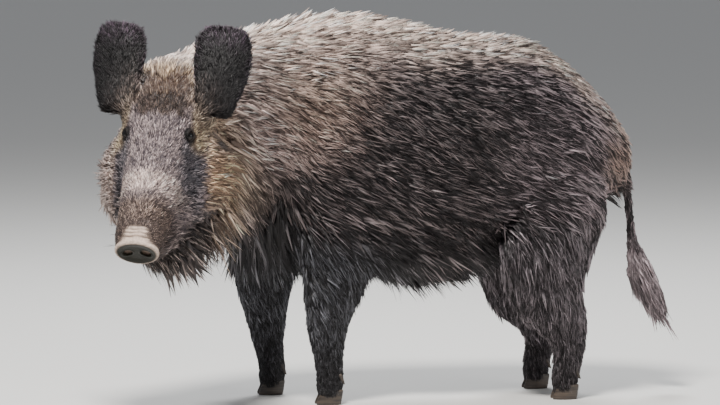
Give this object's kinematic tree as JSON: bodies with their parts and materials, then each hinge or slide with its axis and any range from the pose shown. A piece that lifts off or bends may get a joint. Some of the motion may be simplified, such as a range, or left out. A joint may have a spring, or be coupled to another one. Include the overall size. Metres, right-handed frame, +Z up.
{
  "type": "wild boar, still life-size animal model",
  "caption": "Wild boar standing on four cloven feet with its head turned to its left and lowered, in a coarse streaked coat.",
  "frame": {"origin": "on the floor, below the middle of the animal's box", "axes": "+Z up; the trunk runs along X and the boar walks towards -X; its left side is -Y, and its head is turned to -Y"},
  "size_m": [1.1891, 0.641, 0.7817],
  "materials": {
    "body_coat": "coarse bristles, pale tips over a dark base",
    "face_coat": "short bristly hair, grey-brown with straw tips",
    "leg_coat": "black bristles with grey streaks",
    "ear_coat": "short near-black fuzz",
    "nose": "bare moist wrinkled skin",
    "horn": "dark worn horn",
    "eye": "wet dark brown"
  },
  "bodies": {
    "root": {"head": "face_coat", "lower_jaw": "face_coat", "snout_disc": "nose", "ear_left": "ear_coat", "ear_right": "ear_coat", "eye_left": "eye", "eye_right": "eye", "neck": "body_coat", "trunk": "body_coat", "tail": "body_coat", "foreleg_left": "leg_coat", "foreleg_left_hoof_outer": "horn", "foreleg_left_dewclaw_outer": "horn", "foreleg_left_hoof_inner": "horn", "foreleg_left_dewclaw_inner": "horn", "foreleg_right": "leg_coat", "foreleg_right_hoof_outer": "horn", "foreleg_right_dewclaw_outer": "horn", "foreleg_right_hoof_inner": "horn", "foreleg_right_dewclaw_inner": "horn", "hindleg_left": "leg_coat", "hindleg_left_hoof_outer": "horn", "hindleg_left_dewclaw_outer": "horn", "hindleg_left_hoof_inner": "horn", "hindleg_left_dewclaw_inner": "horn", "hindleg_right": "leg_coat", "hindleg_right_hoof_outer": "horn", "hindleg_right_dewclaw_outer": "horn", "hindleg_right_hoof_inner": "horn", "hindleg_right_dewclaw_inner": "horn"}
  },
  "joints": []
}
